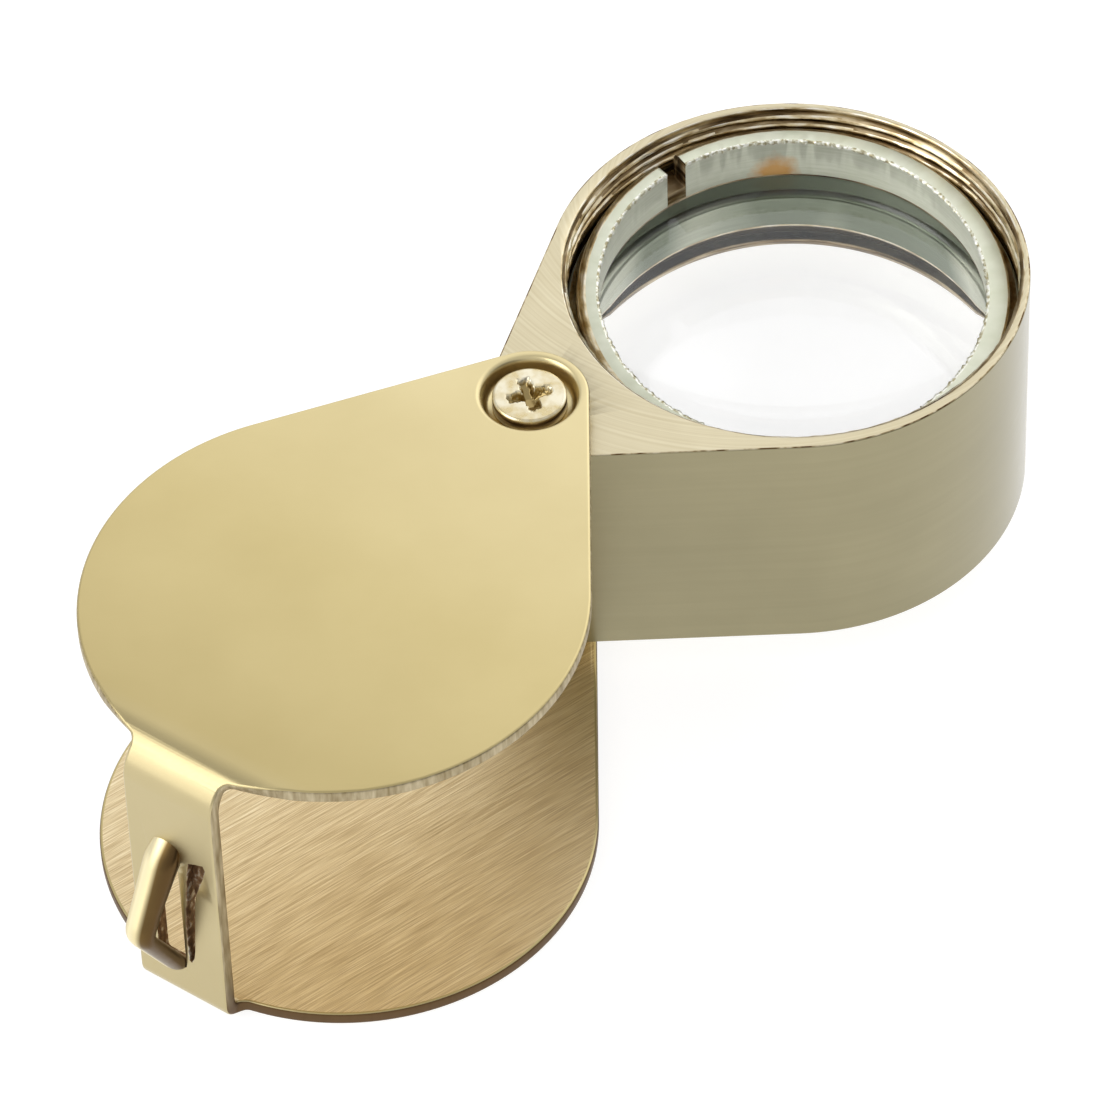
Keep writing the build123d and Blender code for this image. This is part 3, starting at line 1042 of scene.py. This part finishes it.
def ground_glass(name, colour):
    """A lens's ground edge, painted in the colour of what lies round it as a painted reflection."""
    material, nodes, links, shader = new_material(name, colour, 0.0, 0.5)
    speckle = stretched_noise(nodes, links, 0, (4000, 4000, 4000), 2)
    links.new(scaled(nodes, links, speckle, 0.4, 0.7), shader.inputs["Roughness"])
    return material


# ---------------------------------------------------------------- stage
def make_camera():
    """A long lens high over the web's corner, rolled by a hair, as the object is usually shown."""
    data = bpy.data.cameras.new("camera")
    data.sensor_width = 36.0
    data.lens = 255.66
    camera = bpy.data.objects.new("camera", data)
    target = Vector((15.07, -2.21, 8.85)) * MM
    distance = 399.72 * MM
    azimuth, elevation, roll = radians(-143.43), radians(47.43), radians(2.13)
    back = Vector((cos(elevation) * cos(azimuth), cos(elevation) * sin(azimuth), sin(elevation)))
    camera.location = target + back * distance
    camera.rotation_mode = "QUATERNION"
    level = (-back).to_track_quat("-Z", "Y")
    camera.rotation_quaternion = level @ Matrix.Rotation(-roll, 4, "Z").to_quaternion()
    data.clip_start, data.clip_end = 0.01, 20.0
    bpy.context.scene.collection.objects.link(camera)
    bpy.context.scene.camera = camera


def make_floor():
    """A pale matt floor, in metres, that glows enough to stay near white under the loupe."""
    half_size, gap = 3.0, 0.00002
    bm = bmesh.new()
    bmesh.ops.create_grid(bm, x_segments=4, y_segments=4, size=half_size)
    mesh = bpy.data.meshes.new("floor")
    bm.to_mesh(mesh)
    bm.free()
    floor = bpy.data.objects.new("floor", mesh)
    floor.location.z = cad_box[0].z - gap
    bpy.context.scene.collection.objects.link(floor)
    material, _, _, shader = new_material("pale_floor", (0.34, 0.34, 0.34), 0.0, 0.9)
    shader.inputs["Specular IOR Level"].default_value = 0.0
    shader.inputs["Emission Color"].default_value = (1, 1, 1, 1)
    shader.inputs["Emission Strength"].default_value = 0.84
    mesh.materials.append(material)


def sky_patch(nodes, links, azimuth, elevation, inner, outer, change):
    """A change of brightness round a direction of the sky, fading out between two angles, in degrees."""
    place = nodes.new("ShaderNodeTexCoord")
    dot = nodes.new("ShaderNodeVectorMath")
    dot.operation = "DOT_PRODUCT"
    a, e = radians(azimuth), radians(elevation)
    dot.inputs[1].default_value = (cos(e) * cos(a), cos(e) * sin(a), sin(e))
    links.new(place.outputs["Generated"], dot.inputs[0])
    edge = nodes.new("ShaderNodeMapRange")
    edge.interpolation_type = "SMOOTHSTEP"
    edge.inputs["From Min"].default_value = cos(radians(outer))
    edge.inputs["From Max"].default_value = cos(radians(inner))
    links.new(dot.outputs["Value"], edge.inputs["Value"])
    return scaled(nodes, links, edge.outputs["Result"], 0.0, change)


def added(nodes, links, first, second):
    """The sum of a socket and either another socket or a plain number."""
    node = nodes.new("ShaderNodeMath")
    node.operation = "ADD"
    links.new(first, node.inputs[0])
    if isinstance(second, float):
        node.inputs[1].default_value = second
    else:
        links.new(second, node.inputs[1])
    return node.outputs[0]


TENT_GLOW = 0.68
TENT_PATCHES = {
    "panel beyond the loupe": {"azimuth": 37, "elevation": 44, "inner": 18, "outer": 40, "change": 0.45},
    "panel on the web's far side": {"azimuth": 144, "elevation": 44, "inner": 14, "outer": 25, "change": 2.3},
    "low panel facing the web": {"azimuth": 153, "elevation": 12, "inner": 10, "outer": 21, "change": 1.3},
    "panel past the housing": {"azimuth": -5, "elevation": 30, "inner": 15, "outer": 30, "change": 0.7},
    "dimmer patch overhead": {"azimuth": 78, "elevation": 66, "inner": 8, "outer": 26, "change": -0.22},
    "dark opening of the tent": {"azimuth": -95, "elevation": 0, "inner": 20, "outer": 50, "change": -0.55},
}


def make_lights():
    """A light tent: an even glow with brighter and darker patches, each seen from where the loupe stands."""
    world = bpy.data.worlds.new("world")
    bpy.context.scene.world = world
    world.use_nodes = True
    nodes, links = world.node_tree.nodes, world.node_tree.links
    background = nodes["Background"]
    background.inputs["Color"].default_value = (1, 1, 1, 1)
    level, *others = [sky_patch(nodes, links, **patch) for patch in TENT_PATCHES.values()]
    for patch in others:
        level = added(nodes, links, level, patch)
    links.new(added(nodes, links, level, TENT_GLOW), background.inputs["Strength"])
    bpy.context.scene.view_settings.view_transform = "Standard"


# ---------------------------------------------------------------- scene

make_camera()
gold = satin_gold()
make_case([gold, brushed_gold(), sheared_edge(), torn_edge_and_shade()])
make_bail(strap_gold_painted_light())
crest, groove = crest_wear_and_highlight(), groove_painted_shade()
make_housing([plated_side_painted_shade(), faced_end(), crest, groove, nicked_rim()])
make_ring([turned_ring(), groove, crest, burred_edge_painted_glints()])
polished = clear_glass()
# The ground edges' colours are painted reflections of what lies round the lenses.
upper_edge = ground_glass("ground_edge_upper", (0.3, 0.35, 0.25))
make_lens("glass_upper", "lens_upper", ring_low, -1, [polished, upper_edge])
lower_edge = ground_glass("ground_edge_lower", (0.1, 0.07, 0.03))
make_lens("glass_lower", "lens_lower", lip_top, 1, [polished, lower_edge])
make_spacer([plain_spacer(), crest])
screw_metal = worn_screw()
make_screw("screw_top", "pivot_screw_top", 1, 2.0, [screw_metal, groove])
make_screw("screw_bottom", "pivot_screw_bottom", -1, 5.0, [screw_metal, groove])
make_floor()
make_lights()
